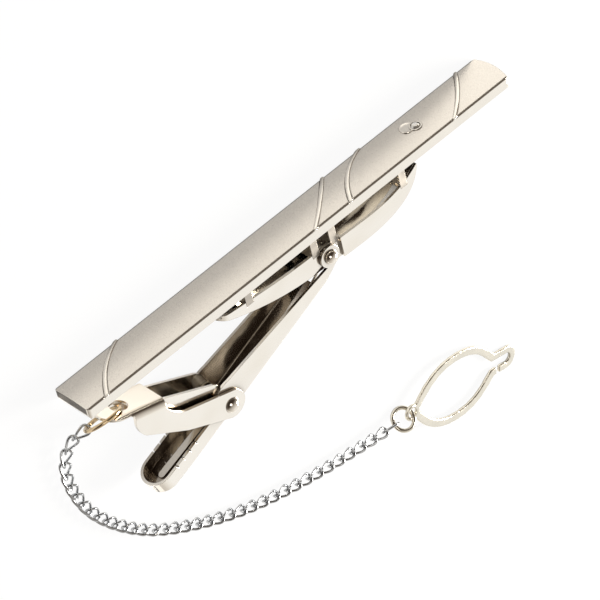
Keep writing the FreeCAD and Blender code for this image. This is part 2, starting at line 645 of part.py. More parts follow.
def jaw_pin():
    pin = pin_solid(PIN_RADIUS, COVER_HALF, JAW_HEAD_RADIUS, JAW_HEAD_HEIGHT, SEAT_CLEARANCE)
    return pin.translated(jaw_pivot())


def jaw_spring():
    return coil_spring().translated(jaw_pivot())


def hole_place():
    turn = FreeCAD.Rotation(vec(0, 0, 1), -JAW_OPEN)
    return jaw_pivot() + turn.multVec(vec(HOLE_ALONG, TONGUE_FRONT + COVER_SHEET / 2))


def ring_directions():
    """Two directions in the jump ring's plane: along the bar, and down to the table."""
    lean = math.radians(RING_LEAN)
    return vec(1, 0, 0), vec(0, math.cos(lean), -math.sin(lean))


def ring_centre():
    along, down = ring_directions()
    turn = math.radians(RING_TURN)
    return hole_place() + (along * math.cos(turn) + down * math.sin(turn)) * RING_RADIUS


def ring_hook():
    """The place on the jump ring where the chain's first link hangs."""
    along, down = ring_directions()
    turn = math.radians(RING_HOOK)
    return ring_centre() + (along * math.cos(turn) + down * math.sin(turn)) * RING_RADIUS


def jump_ring():
    ring = round_ring(RING_RADIUS, RING_WIRE)
    ring.rotate(vec(0, 0, 0), vec(1, 0, 0), -RING_LEAN)
    return ring.translated(ring_centre())


def chain_route():
    """The chain's course from the jump ring's hook down to the table, along it, and up to the end ring."""
    start = ring_hook()
    end = vec(CHAIN_END_X, CHAIN_END_Y, end_ring_height())
    points = [start]
    for x, y, share in CHAIN_FALLING:
        points.append(vec(x, y, CHAIN_HEIGHT + share * (start.z - CHAIN_HEIGHT)))
    for x, y in CHAIN_LYING:
        points.append(vec(x, y, CHAIN_HEIGHT))
    for x, y, share in CHAIN_RISING:
        points.append(vec(x, y, CHAIN_HEIGHT + share * (end.z - CHAIN_HEIGHT)))
    return points + [end]


def end_ring_height():
    """Height of the end ring's middle as it leans on the table."""
    rise = END_RING_RADIUS * math.sin(math.radians(END_RING_ROLL))
    return rise + END_RING_WIRE / 2 + TABLE_CLEARANCE


def link_places():
    """Centre, heading, climb and roll of every link along the route from the jump ring."""
    spline = Part.BSplineCurve()
    spline.interpolate(chain_route())
    first = (LINK_PITCH - RING_WIRE) / 2
    count = round((spline.length() - first) / LINK_PITCH)
    pitch = (spline.length() - first) / (count - 0.5)
    places = []
    for index in range(count):
        parameter = spline.parameterAtDistance(first + index * pitch, spline.FirstParameter)
        centre = spline.value(parameter)
        tangent = spline.tangent(parameter)[0]
        heading = math.degrees(math.atan2(tangent.y, tangent.x))
        climb = math.degrees(math.asin(tangent.z))
        roll = -45.0 if index % 2 else 45.0
        places.append((centre, heading, climb, roll))
    return places


def oval_link():
    """One link lying flat: two straight sides and two round ends."""
    bend = (LINK_INSIDE + LINK_WIRE) / 2
    straight = (LINK_PITCH + LINK_SLACK + LINK_WIRE) / 2 - bend
    corners = []
    for end in (1, -1):
        for step in range(LINK_STRETCHES + 1):
            angle = math.pi * (step / LINK_STRETCHES - 0.5)
            corners.append(vec(straight + bend * math.cos(angle), bend * math.sin(angle)) * end)
    return closed_wire(corners, LINK_WIRE)


def chain_links():
    links = []
    model = oval_link()
    for centre, heading, climb, roll in link_places():
        link = model.copy()
        link.rotate(vec(0, 0, 0), vec(1, 0, 0), roll)
        link.rotate(vec(0, 0, 0), vec(0, 1, 0), -climb)
        link.rotate(vec(0, 0, 0), vec(0, 0, 1), heading)
        links.append(link.translated(centre))
    return links


def end_ring_centre():
    centre, heading, climb, roll = link_places()[-1]
    reach = LINK_PITCH / 2 + END_RING_RADIUS - END_RING_WIRE / 2
    turn = math.radians(heading)
    place = centre + vec(math.cos(turn), math.sin(turn)) * reach
    return vec(place.x, place.y, end_ring_height())


def end_ring():
    """The small ring between the last link and the button loop, rolled the other way from that link."""
    centre, heading, climb, roll = link_places()[-1]
    ring = round_ring(END_RING_RADIUS, END_RING_WIRE)
    ring.rotate(vec(0, 0, 0), vec(1, 0, 0), math.copysign(END_RING_ROLL, -roll))
    ring.rotate(vec(0, 0, 0), vec(0, 0, 1), heading)
    return ring.translated(end_ring_centre())


def loop_place():
    """The button loop's ring hole, at the end ring's far side."""
    centre, heading, climb, roll = link_places()[-1]
    turn = math.radians(heading)
    return end_ring_centre() + vec(math.cos(turn), math.sin(turn)) * END_RING_RADIUS


def almond(inset):
    """Outline of the loop, or of its opening where inset is the band's width."""
    edge = [vec(along * LOOP_LENGTH, across * LOOP_HALF) for along, across in LOOP_OUTSIDE]
    mirrored = [vec(point.x, -point.y) for point in edge]
    upper = []
    for index, point in enumerate(edge):
        before = edge[index - 1] if index else mirrored[1]
        after = edge[index + 1] if index + 1 < len(edge) else mirrored[-2]
        inward = (after - before).cross(vec(0, 0, 1)).normalize()
        upper.append(point + inward * inset)
    lower = [vec(point.x, -point.y) for point in reversed(upper)]
    return Part.Wire([curve(upper), curve(lower)])


def stadium(start, end, half):
    """A slot's outline along the loop, round at its far end."""
    straight = end - half
    return Part.Wire([
        line(vec(start, -half), vec(straight, -half)),
        arc(vec(straight, -half), vec(end, 0), vec(straight, half)),
        line(vec(straight, half), vec(start, half)),
        line(vec(start, half), vec(start, -half)),
    ])


def button_loop():
    """The almond loop of flat band that slips over a shirt button, with a ring hole and an open nub."""
    upright = vec(0, 0, LOOP_HEIGHT)
    neck = LOOP_LENGTH - NUB_HALF
    loop = prism(almond(0), upright).fuse(prism(stadium(neck, NUB_REACH, NUB_HALF), upright))
    loop = loop.fuse(Part.makeCylinder(EYE_RADIUS + EYE_WALL, LOOP_HEIGHT))
    slot = stadium(neck - LOOP_BAND, NUB_REACH - NUB_BAND, NUB_HALF - NUB_BAND)
    loop = loop.cut(prism(almond(LOOP_BAND), upright)).cut(prism(slot, upright))
    gap = Part.makeBox(NUB_GAP, NUB_HALF, LOOP_HEIGHT, vec(LOOP_LENGTH - LOOP_BAND, -NUB_HALF, 0))
    loop = loop.cut(Part.makeCylinder(EYE_RADIUS, LOOP_HEIGHT)).cut(gap).removeSplitter()
    lift = end_ring_height() - LOOP_HEIGHT / 2
    loop.rotate(vec(NUB_REACH, 0, 0), vec(0, 1, 0), math.degrees(math.atan2(lift, NUB_REACH)))
    loop.rotate(vec(0, 0, 0), vec(0, 0, 1), LOOP_HEADING)
    place = loop_place()
    return loop.translated(vec(place.x, place.y, 0))


def nodes():
    pieces = {
        "front_bar": front_bar(),
        "crystal": crystal(),
        "stone_bezel": stone_bezel(),
        "base_bridge": base_bridge(),
        "arm_pin": arm_pin(),
        "arm_spring": arm_spring(),
        "clamp_arm": clamp_arm(),
        "jaw_cover": jaw_cover(),
        "jaw_channel": jaw_channel(),
        "jaw_pin": jaw_pin(),
        "jaw_spring": jaw_spring(),
        "jump_ring": jump_ring(),
        "end_ring": end_ring(),
        "button_loop": button_loop(),
    }
    for number, x in enumerate(LUG_PLACES, 1):
        pieces["lug_%d" % number] = lug(x)
    for number, link in enumerate(chain_links(), 1):
        pieces["chain_link_%02d" % number] = link
    return pieces


os.makedirs("parts", exist_ok=True)
for name, shape in nodes().items():
    shape.exportStep("parts/%s.step" % name)
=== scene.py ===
import bpy
import bmesh
import json
import math
import numpy as np
from mathutils import Matrix, Vector

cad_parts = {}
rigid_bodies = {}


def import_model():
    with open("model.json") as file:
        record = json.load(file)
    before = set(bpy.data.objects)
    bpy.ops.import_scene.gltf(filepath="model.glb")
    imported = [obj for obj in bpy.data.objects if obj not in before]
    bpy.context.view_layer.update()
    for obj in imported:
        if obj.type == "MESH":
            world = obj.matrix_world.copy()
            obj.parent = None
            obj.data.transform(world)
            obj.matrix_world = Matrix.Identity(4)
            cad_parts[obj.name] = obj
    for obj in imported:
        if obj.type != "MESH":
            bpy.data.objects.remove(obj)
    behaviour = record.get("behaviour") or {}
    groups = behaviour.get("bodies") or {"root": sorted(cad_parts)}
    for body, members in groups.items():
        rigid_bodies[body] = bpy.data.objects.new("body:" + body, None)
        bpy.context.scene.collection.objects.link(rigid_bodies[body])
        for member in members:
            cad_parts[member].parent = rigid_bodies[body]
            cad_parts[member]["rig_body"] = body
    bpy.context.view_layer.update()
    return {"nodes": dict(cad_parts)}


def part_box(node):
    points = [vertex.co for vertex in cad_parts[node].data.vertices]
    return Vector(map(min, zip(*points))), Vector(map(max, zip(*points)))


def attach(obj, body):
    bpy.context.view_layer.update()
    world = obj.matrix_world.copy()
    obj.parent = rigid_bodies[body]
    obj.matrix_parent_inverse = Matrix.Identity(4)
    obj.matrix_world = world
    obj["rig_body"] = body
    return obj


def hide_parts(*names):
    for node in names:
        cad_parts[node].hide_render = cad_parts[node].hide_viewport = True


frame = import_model()


# Table, light and camera. The clip lies on a white card table in a studio whose walls are white behind
# it and on the stone's side, and dark in front of it on the chain's side, as the bright nickel mirrors.

def linear(code):
    """A colour written as sRGB hex, as linear red, green, blue and alpha."""
    shares = [int(code[place:place + 2], 16) / 255 for place in (1, 3, 5)]
    lights = [share / 12.92 if share <= 0.04045 else ((share + 0.055) / 1.055) ** 2.4 for share in shares]
    return lights + [1.0]


def add(tree, kind, inputs=None, stops=(), **settings):
    """A new node with its settings and ramp stops; each input is a value or another node's output."""
    made = tree.nodes.new(kind)
    for name, value in settings.items():
        setattr(made, name, value)
    for number, (place, code) in enumerate(stops):
        elements = made.color_ramp.elements
        element = elements[number] if number < 2 else elements.new(place)
        element.position = place
        element.color = linear(code)
    for name, value in (inputs or {}).items():
        if isinstance(value, bpy.types.NodeSocket):
            tree.links.new(value, made.inputs[name])
        else:
            made.inputs[name].default_value = value
    return made


# The wall shades run from straight away from the white wall to straight at it, and a paler skirting runs
# round the foot of the room. A Mix node takes the share at 0, numbers at 2 and 3, and colours at 6 and 7.
scene = bpy.context.scene
scene.view_settings.view_transform = "Standard"
white_wall = (-0.35, 0.8, 0.48)
wall_shades = ((0.0, "#362e27"), (0.36, "#3a312a"), (0.5, "#4a4037"), (0.58, "#71685f"),
               (0.72, "#b5aea6"), (0.9, "#ded9d2"), (0.97, "#f6f4f0"), (1.0, "#ffffff"))
skirting_top, skirting_share, skirting_shade = 0.35, 0.7, "#938a80"
room = bpy.data.worlds.new("studio")
scene.world = room
room.use_nodes = True
tree = room.node_tree
tree.nodes.clear()
heading = add(tree, "ShaderNodeTexCoord")
toward = add(tree, "ShaderNodeVectorMath", {0: heading.outputs["Generated"], 1: white_wall},
             operation="DOT_PRODUCT")
share = add(tree, "ShaderNodeMapRange", {"Value": toward.outputs["Value"], "From Min": -1.0,
                                         "From Max": 1.0})
walls = add(tree, "ShaderNodeValToRGB", {"Fac": share.outputs["Result"]}, wall_shades)
height = add(tree, "ShaderNodeSeparateXYZ", {0: heading.outputs["Generated"]})
low_down = add(tree, "ShaderNodeMapRange", {"Value": height.outputs["Z"], "From Min": 0.0,
                                            "From Max": skirting_top, "To Min": skirting_share,
                                            "To Max": 0.0})
skirting = add(tree, "ShaderNodeMix", {0: low_down.outputs[0], 6: walls.outputs["Color"],
                                       7: linear(skirting_shade)}, data_type="RGBA", blend_type="LIGHTEN")
seen = add(tree, "ShaderNodeLightPath")
shade = add(tree, "ShaderNodeMix", {0: seen.outputs["Is Camera Ray"], 6: skirting.outputs[2],
                                    7: linear("#ffffff")}, data_type="RGBA")
light = add(tree, "ShaderNodeBackground", {"Color": shade.outputs[2], "Strength": 1.0})
add(tree, "ShaderNodeOutputWorld", {"Surface": light.outputs["Background"]})

# White card: a dead matt sheet. The camera sees it almost plain white with the clip's faint shadow, and the
# nickel mirrors it a little lighter than the lamp leaves it.
camera_glow, mirror_glow, table_gap = 0.93, 0.4, 0.00003
form = bmesh.new()
bmesh.ops.create_grid(form, x_segments=1, y_segments=1, size=1.0)
bmesh.ops.translate(form, verts=form.verts, vec=(0, 0, -table_gap))
table_mesh = bpy.data.meshes.new("table_top")
form.to_mesh(table_mesh)
form.free()
table = bpy.data.objects.new("table_top", table_mesh)
scene.collection.objects.link(table)
card = bpy.data.materials.new("white_card")
card.use_nodes = True
tree = card.node_tree
tree.nodes.clear()
seen = add(tree, "ShaderNodeLightPath")
mirrored = add(tree, "ShaderNodeMath", {0: seen.outputs["Is Glossy Ray"],
                                        1: seen.outputs["Is Transmission Ray"]}, operation="MAXIMUM")
faint = add(tree, "ShaderNodeMath", {0: mirrored.outputs[0], 1: mirror_glow}, operation="MULTIPLY")
plain = add(tree, "ShaderNodeMath", {0: seen.outputs["Is Camera Ray"], 1: camera_glow},
            operation="MULTIPLY")
glow = add(tree, "ShaderNodeMath", {0: faint.outputs[0], 1: plain.outputs[0]}, operation="ADD")
matt = add(tree, "ShaderNodeBsdfDiffuse", {"Color": linear("#f6f5f3")})
white = add(tree, "ShaderNodeEmission", {"Color": linear("#ffffff"), "Strength": 1.0})
both = add(tree, "ShaderNodeMixShader", {0: glow.outputs[0], 1: matt.outputs[0], 2: white.outputs[0]})
add(tree, "ShaderNodeOutputMaterial", {"Surface": both.outputs[0]})
table_mesh.materials.append(card)

# A soft lamp stands low past the stone end of the bar and behind it, so the bar shades the table before it.
# A faint one near the camera puts a glint in the rivets, bends and wires.
for name, place, size, energy in (("soft_lamp", (-0.37, 0.17, 0.2), 0.2, 4.4),
                                  ("glint_lamp", (0.2, -0.2, 0.4), 0.26, 0.38)):
    lamp_data = bpy.data.lights.new(name, "AREA")
    lamp_data.shape = "DISK"
    lamp_data.size = size
    lamp_data.energy = energy
    lamp_data.color = linear("#fffaf2")[:3]
    lamp = bpy.data.objects.new(name, lamp_data)
    lamp.location = place
    lamp.rotation_euler = (-lamp.location).to_track_quat("-Z", "Y").to_euler()
    scene.collection.objects.link(lamp)

# The camera looks down on the bar's face from the chain's side, turned so that the bar climbs to the right.
# It is aimed a little right of the bar's middle and below it, as the picture is framed.
bar_front = -0.00075
aim_high, aim_right, aim_down, camera_far = 0.0001, 0.00285, 0.00817, 0.4
camera_data = bpy.data.cameras.new("photo_camera")
camera_data.sensor_width = 36.0
camera_data.lens = 242.7
camera_data.clip_end = 10.0
camera = bpy.data.objects.new("photo_camera", camera_data)
right = Vector((-0.709, 0.189, 0.679)).normalized()
down = Vector((0.570, 0.721, 0.395))
down = (down - right * down.dot(right)).normalized()
back = down.cross(right)
place = Vector((0, bar_front, aim_high)) + right * aim_right + down * aim_down + back * camera_far
camera.matrix_world = Matrix.Translation(place) @ Matrix((right, -down, back)).transposed().to_4x4()
scene.collection.objects.link(camera)
scene.camera = camera


# Front bar: a slim die-cast zinc bar, nickel plated. Its crowned face is blasted satin, its edges and back
# are polished bright, and four curved relief lines cross the face, each a bright bead between grooves.

def worked_metal(name, base, roughness, soft_edge, grain, painted_shade_colour, painted_shade_reach, unshaded_from=0.8, wave=0.0):
    """Worked or plated metal: soft edges, cloudy shine, fine grain, waves and painted shade in its corners.
    Lengths in mm.
    """
    cloud_size, wave_size, grain_strength, grain_depth = 1.6, 6.0, 0.08, 0.02
    smoothest, roughest, painted_shade_fade = 0.75, 1.3, 0.65
    made = bpy.data.materials.new(name)
    made.use_nodes = True
    tree = made.node_tree
    tree.nodes.clear()
    place = add(tree, "ShaderNodeTexCoord")
    edge = add(tree, "ShaderNodeBevel", {"Radius": soft_edge / 1000}, samples=6)
    cloud = add(tree, "ShaderNodeTexNoise", {"Vector": place.outputs["Object"], "Scale": 1000 / cloud_size,
                                             "Detail": 3.0})
    fine = add(tree, "ShaderNodeTexNoise", {"Vector": place.outputs["Object"], "Scale": 1000 / grain,
                                            "Detail": 2.0})
    swell = add(tree, "ShaderNodeTexNoise", {"Vector": place.outputs["Object"], "Scale": 1000 / wave_size,
                                             "Detail": 1.0})
    sheet = add(tree, "ShaderNodeBump", {"Height": swell.outputs[0], "Distance": wave / 1000,
                                         "Normal": edge.outputs[0]})
    relief = add(tree, "ShaderNodeBump", {"Height": fine.outputs[0], "Strength": grain_strength,
                                          "Distance": grain_depth / 1000, "Normal": sheet.outputs[0]})
    rough = add(tree, "ShaderNodeMapRange", {"Value": cloud.outputs[0], "From Min": 0.3, "From Max": 0.7,
                                             "To Min": roughness * smoothest,
                                             "To Max": roughness * roughest})
    # Painted shade: the base colour runs to a darker shade colour where ambient occlusion finds corners,
    # hollows or the table close by.
    hollow = add(tree, "ShaderNodeAmbientOcclusion", {"Distance": painted_shade_reach / 1000}, samples=8)
    painted_shade = add(tree, "ShaderNodeValToRGB", {"Fac": hollow.outputs["AO"]},
               ((unshaded_from - painted_shade_fade, painted_shade_colour), (unshaded_from, base)))
    metal = add(tree, "ShaderNodeBsdfPrincipled", {"Base Color": painted_shade.outputs["Color"], "Metallic": 1.0,
                                                   "Roughness": rough.outputs[0],
                                                   "Normal": relief.outputs[0]})
    add(tree, "ShaderNodeOutputMaterial", {"Surface": metal.outputs[0]})
    return made


def dress(node, material):
    """Gives a solid that stays in view its finish."""
    piece = frame["nodes"][node]
    piece.data.materials.clear()
    piece.data.materials.append(material)


# Corners nearer than the first are one corner, and edges that turn more than the second stay sharp.
same_place, crease = 1e-7, math.radians(38)


def stand(form, name, material, body, nodes=()):
    """Makes an object of a form that rides on a body, in place of the named solids."""
    bmesh.ops.remove_doubles(form, verts=form.verts, dist=same_place)
    bmesh.ops.recalc_face_normals(form, faces=form.faces)
    mesh = bpy.data.meshes.new(name)
    form.to_mesh(mesh)
    form.free()
    mesh.materials.append(material)
    mesh.polygons.foreach_set("use_smooth", [True] * len(mesh.polygons))
    mesh.set_sharp_from_angle(angle=crease)
    piece = bpy.data.objects.new(name, mesh)
    scene.collection.objects.link(piece)
    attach(piece, body)
    if nodes:
        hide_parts(*nodes)


# Blasted nickel: the blast leaves fine grit marks that spread the light to a silky grey with tiny glints.
# The grit is drawn coarser than the real 0.05 mm so that it shows.
grit_size, pit_strength, pit_depth = 0.11, 0.12, 0.03
face_smooth, face_rough = 0.26, 0.42
# How far the surface turns to the front before the satin finish begins, or to an end before the painted end
# shade begins, and where each is full.
edge_turn, face_turn, corner_turn, end_turn = -0.93, -0.985, 0.93, 0.99
# Its painted shade darkens the bar's lower edges where it meets the table, and its hollows.
satin = worked_metal("blasted_nickel_plate", base="#f3eee5", roughness=0.12, soft_edge=0.12, grain=0.25,
                     painted_shade_colour="#453f39", painted_shade_reach=0.8)
tree = satin.node_tree
metal = tree.nodes["Principled BSDF"]
place = tree.nodes["Texture Coordinate"]
facing = add(tree, "ShaderNodeSeparateXYZ", {0: place.outputs["Normal"]})
on_face = add(tree, "ShaderNodeMapRange", {"Value": facing.outputs["Y"], "From Min": edge_turn,
                                           "From Max": face_turn})
grit = add(tree, "ShaderNodeTexNoise", {"Vector": place.outputs["Object"], "Scale": 1000 / grit_size,
                                        "Detail": 2.0})
silk = add(tree, "ShaderNodeValToRGB", {"Fac": grit.outputs[0]}, ((0.3, "#dfdad2"), (0.7, "#eee9e1")))
dull = add(tree, "ShaderNodeMapRange", {"Value": grit.outputs[0], "From Min": 0.3, "From Max": 0.7,
                                        "To Min": face_smooth, "To Max": face_rough})
finish = add(tree, "ShaderNodeMix", {0: on_face.outputs[0], 3: dull.outputs[0],
                                     2: metal.inputs["Roughness"].links[0].from_socket}, data_type="FLOAT")
tree.links.new(finish.outputs[0], metal.inputs["Roughness"])
silver = add(tree, "ShaderNodeMix", {0: on_face.outputs[0], 7: silk.outputs["Color"],
                                     6: metal.inputs["Base Color"].links[0].from_socket}, data_type="RGBA")
# The ends get a painted shade: a darker colour standing in for the dark room they mirror.
end_on = add(tree, "ShaderNodeMath", {0: facing.outputs["X"]}, operation="ABSOLUTE")
end_shade_mask = add(tree, "ShaderNodeMapRange", {"Value": end_on.outputs[0], "From Min": corner_turn,
                                          "From Max": end_turn})
painted_end_shade = add(tree, "ShaderNodeMix", {0: end_shade_mask.outputs[0], 6: silver.outputs[2], 7: linear("#615c56")},
           data_type="RGBA")
tree.links.new(painted_end_shade.outputs[2], metal.inputs["Base Color"])
pits = add(tree, "ShaderNodeMath", {0: on_face.outputs[0], 1: pit_strength}, operation="MULTIPLY")
blast = add(tree, "ShaderNodeBump", {"Height": grit.outputs[0], "Strength": pits.outputs[0],
                                     "Distance": pit_depth / 1000,
                                     "Normal": metal.inputs["Normal"].links[0].from_socket})
tree.links.new(blast.outputs[0], metal.inputs["Normal"])
dress("front_bar", satin)

# Polished nickel: buffed before plating, so it mirrors the room sharply, with a few soft waves.
bright = worked_metal("polished_nickel_plate", base="#f5f0e7", roughness=0.1, soft_edge=0.06, grain=0.25,
                      painted_shade_colour="#43372c", painted_shade_reach=2.2, wave=0.5)

# The beads are half-sunk oval rods that follow arcs. Each line has its place along the bar at the lower edge,
# its lean over the bar's width and its bow at the middle, in millimetres.
bead_wide, bead_high, bead_end = 0.00021, 0.00013, 0.00002
bar_wide, face_crown, face_edge = 0.00505, 0.00012, 0.00024
middle = bar_wide / 2
relief_lines = ((21.04, 5.7, 0.8), (-7.16, 5.8, -0.2), (-12.36, 6.0, 1.1), (-26.26, 5.2, -0.45))
for number, (low, lean, bow) in enumerate(relief_lines, 1):
    first = Vector((low / 1000, 0))
    through = Vector(((low + lean / 2 + bow) / 1000, middle)) - first
    over = Vector(((low + lean) / 1000, bar_wide)) - first
    centre = first + Vector((over.y * through.length_squared - through.y * over.length_squared,
                             through.x * over.length_squared - over.x * through.length_squared)) / (
                                 2 * through.cross(over))
    spoke = first - centre
    last = first + over - centre
    swing = math.atan2(last.y, last.x) - math.atan2(spoke.y, spoke.x)
    sweep = (swing + math.pi) % (2 * math.pi) - math.pi
    outward = Vector((spoke.x, 0, spoke.y)).normalized()
    upward = Vector((0, bead_high / bead_wide, 0))
    lie = Matrix((outward, upward, outward.cross((0, 1, 0)))).transposed().to_4x4()
    form = bmesh.new()
    bmesh.ops.create_circle(form, segments=16, radius=bead_wide, cap_ends=True,
                            matrix=Matrix.Translation((first.x, bar_front, 0)) @ lie)
    bmesh.ops.spin(form, geom=form.faces[:], cent=(centre.x, bar_front, centre.y), axis=(0, -1, 0),
                   angle=sweep, steps=28)
    for height, side in ((bead_end, -1), (bar_wide - bead_end, 1)):
        bmesh.ops.bisect_plane(form, geom=form.verts[:] + form.edges[:] + form.faces[:],
                               plane_co=(0, 0, height), plane_no=(0, 0, side), clear_outer=True)
    bmesh.ops.holes_fill(form, edges=form.edges)
    for corner in form.verts:
        corner.co.y += face_crown * ((corner.co.z - middle) / (middle - face_edge)) ** 2
    stand(form, "relief_bead_%d" % number, bright, "bar")


# Stone: a small round cut crystal near the bar's far end, held by a polished rim pressed in the face.
# Foil-backed crystal: its silvered back makes every facet a small mirror under clear glass.
flaw_size = 0.3
crystal = bpy.data.materials.new("foil_backed_crystal")
crystal.use_nodes = True
tree = crystal.node_tree
tree.nodes.clear()
place = add(tree, "ShaderNodeTexCoord")
flaw = add(tree, "ShaderNodeTexNoise", {"Vector": place.outputs["Object"], "Scale": 1000 / flaw_size})
foil = add(tree, "ShaderNodeValToRGB", {"Fac": flaw.outputs[0]}, ((0.35, "#f3efe6"), (0.65, "#ffffff")))
stone = add(tree, "ShaderNodeBsdfPrincipled", {"Base Color": foil.outputs["Color"], "Metallic": 0.75,
                                               "Roughness": 0.05, "Coat Weight": 1.0,
                                               "Coat Roughness": 0.02})
add(tree, "ShaderNodeOutputMaterial", {"Surface": stone.outputs[0]})
dress("crystal", crystal)
dress("stone_bezel", bright)

# Dish: a shallow polished bowl struck in the face beside the stone, with a low raised rim that the bezel
# cuts into. Its outline gives distances out from its middle and up from the face, in millimetres.
dish_place = Vector((-0.01727, bar_front, 0.00202))
stone_place = Vector((-0.018, bar_front, middle))
bezel_reach = 0.00069
dish_outline = ((0.0, 0.012), (0.3, 0.013), (0.48, 0.017), (0.56, 0.028), (0.64, 0.055), (0.71, 0.085),
                (0.75, 0.092), (0.79, 0.085), (0.82, 0.05), (0.84, -0.01), (0.0, -0.01))
form = bmesh.new()
outline = [form.verts.new((out / 1000, -up / 1000, 0)) for out, up in dish_outline]
for before, after in zip(outline, outline[1:]):
    form.edges.new((before, after))
bmesh.ops.spin(form, geom=form.verts[:] + form.edges[:], cent=(0, 0, 0), axis=(0, 1, 0),
               angle=2 * math.pi, steps=64, use_merge=True)
bmesh.ops.translate(form, verts=form.verts, vec=dish_place)
bmesh.ops.remove_doubles(form, verts=form.verts, dist=same_place)
covered = [face for face in form.faces
           if all((corner.co - stone_place).xz.length < bezel_reach for corner in face.verts)]
bmesh.ops.delete(form, geom=covered, context="FACES")
bmesh.ops.holes_fill(form, edges=form.edges)
stand(form, "stone_dish", bright, "bar")


# Base bridge and lugs: a bowed channel of nickel-plated steel sheet that carries the arm's hinge. Four cast
# lugs hold it off the bar's back.
# Cast nickel: plated as it left the mould, so it is a dull grey next to the buffed sheet.
cast = worked_metal("as_cast_nickel_plate", base="#b3ada4", roughness=0.38, soft_edge=0.05, grain=0.18,
                    painted_shade_colour="#54493d", painted_shade_reach=1.2)
dress("base_bridge", bright)
for number in range(1, 5):
    dress("lug_%d" % number, cast)


# Clamp arm and jaw: folded from nickel-plated steel sheet. The arm is a long channel with toothed rims and
# a spoon tip, and the jaw is a cover whose two ears straddle the arm, over a narrow inner channel.
# Folded nickel: as bright as the rest outside, with a deep brown painted shade inside the folds.
folded = worked_metal("folded_nickel_plate", base="#f5f0e7", roughness=0.1, soft_edge=0.06, grain=0.25,
                      painted_shade_colour="#685743", painted_shade_reach=3.0, unshaded_from=0.95, wave=0.5)
dress("clamp_arm", folded)
# Pressed nickel: as bright as the folded sheet, with only a light painted shade inside the jaw.
pressed = worked_metal("pressed_nickel_plate", base="#f5f0e7", roughness=0.13, soft_edge=0.06, grain=0.25,
                       painted_shade_colour="#c4b196", painted_shade_reach=2.2, wave=0.5)
for node in ("jaw_channel", "jaw_cover"):
    dress(node, pressed)


# Rivets: two turned steel pins, nickel plated, whose ends are spread to round heads over the ears.
# Spun nickel: the heads are burnished by the setting tool, small mirrors of the whole room, with a dark
# painted shade round their rims.
spun = worked_metal("spun_nickel_plate", base="#efe9df", roughness=0.06, soft_edge=0.02, grain=0.3,
                    painted_shade_colour="#2a211b", painted_shade_reach=0.6, unshaded_from=0.9)
# A head draws in to this share of its width at its foot.
head_foot = 0.95


def rivet(node, name, shank, head, height, low_height):
    """A rivet turned from its outline, with a round head at each end and the lower one kept off the table."""
    low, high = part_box(node)
    seat = (high.z - low.z) / 2 - low_height
    ball = (head ** 2 + height ** 2) / (2 * height)
    form = bmesh.new()
    crown = form.verts.new((0, 0, seat + height))
    bmesh.ops.spin(form, geom=[crown], cent=(0, 0, seat + height - ball), axis=(0, 1, 0),
                   angle=math.acos((ball - height) / ball), steps=10)
    rim = max(form.verts, key=lambda corner: corner.co.x)
    for out, up in ((head * head_foot, seat), (shank, seat), (shank, 0.0)):
        corner = form.verts.new((out, 0, up))
        form.edges.new((rim, corner))
        rim = corner
    bmesh.ops.spin(form, geom=form.verts[:] + form.edges[:], cent=(0, 0, 0), axis=(0, 0, 1),
                   angle=2 * math.pi, steps=48, use_merge=True)
    bmesh.ops.mirror(form, geom=form.verts[:] + form.edges[:] + form.faces[:], axis="Z",
                     merge_dist=same_place)
    for corner in form.verts:
        if corner.co.z < -seat:
            corner.co.z = (corner.co.z + seat) * low_height / height - seat
    bmesh.ops.translate(form, verts=form.verts, vec=(low + high) / 2)
    stand(form, name, spun, frame["nodes"][node]["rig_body"], [node])


rivet("arm_pin", "arm_rivet", shank=0.00045, head=0.00078, height=0.00062, low_height=0.00042)
rivet("jaw_pin", "jaw_rivet", shank=0.00045, head=0.00085, height=0.00058, low_height=0.00021)


# Springs: two close coils of hard-drawn steel wire round the rivets, which push the arm and the jaw shut.
# Spring steel: drawn bright, a pale wire whose painted shade deep in the hinge is only faint.
spring_steel = worked_metal("drawn_spring_steel", base="#e2ddd4", roughness=0.3, soft_edge=0.02, grain=0.12,
                            painted_shade_colour="#a09484", painted_shade_reach=0.4)
# The solids' coils are eight-sided, and the round ones lie at their flats.
spring_wire, spring_pitch = 0.00026, 0.00034
coil_sides, coil_steps, wire_sides = 8, 24, 10
for node, name in (("arm_spring", "arm_coil"), ("jaw_spring", "jaw_coil")):
    low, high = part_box(node)
    turns = round((high.z - low.z - spring_wire) / spring_pitch)
    radius = (high.x - low.x - spring_wire) / 2 * math.cos(math.pi / coil_sides)
    foot = Matrix.Translation((radius, 0, -spring_pitch * turns / 2))
    form = bmesh.new()
    bmesh.ops.create_circle(form, segments=wire_sides, radius=spring_wire / 2, cap_ends=True,
                            matrix=foot @ Matrix.Rotation(math.pi / 2, 4, "X"))
    bmesh.ops.spin(form, geom=form.faces[:], cent=(0, 0, 0), axis=(0, 0, 1),
                   dvec=(0, 0, spring_pitch / coil_steps), angle=2 * math.pi * turns,
                   steps=coil_steps * turns)
    bmesh.ops.translate(form, verts=form.verts, vec=(low + high) / 2)
    stand(form, name, spring_steel, frame["nodes"][node]["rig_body"], [node])

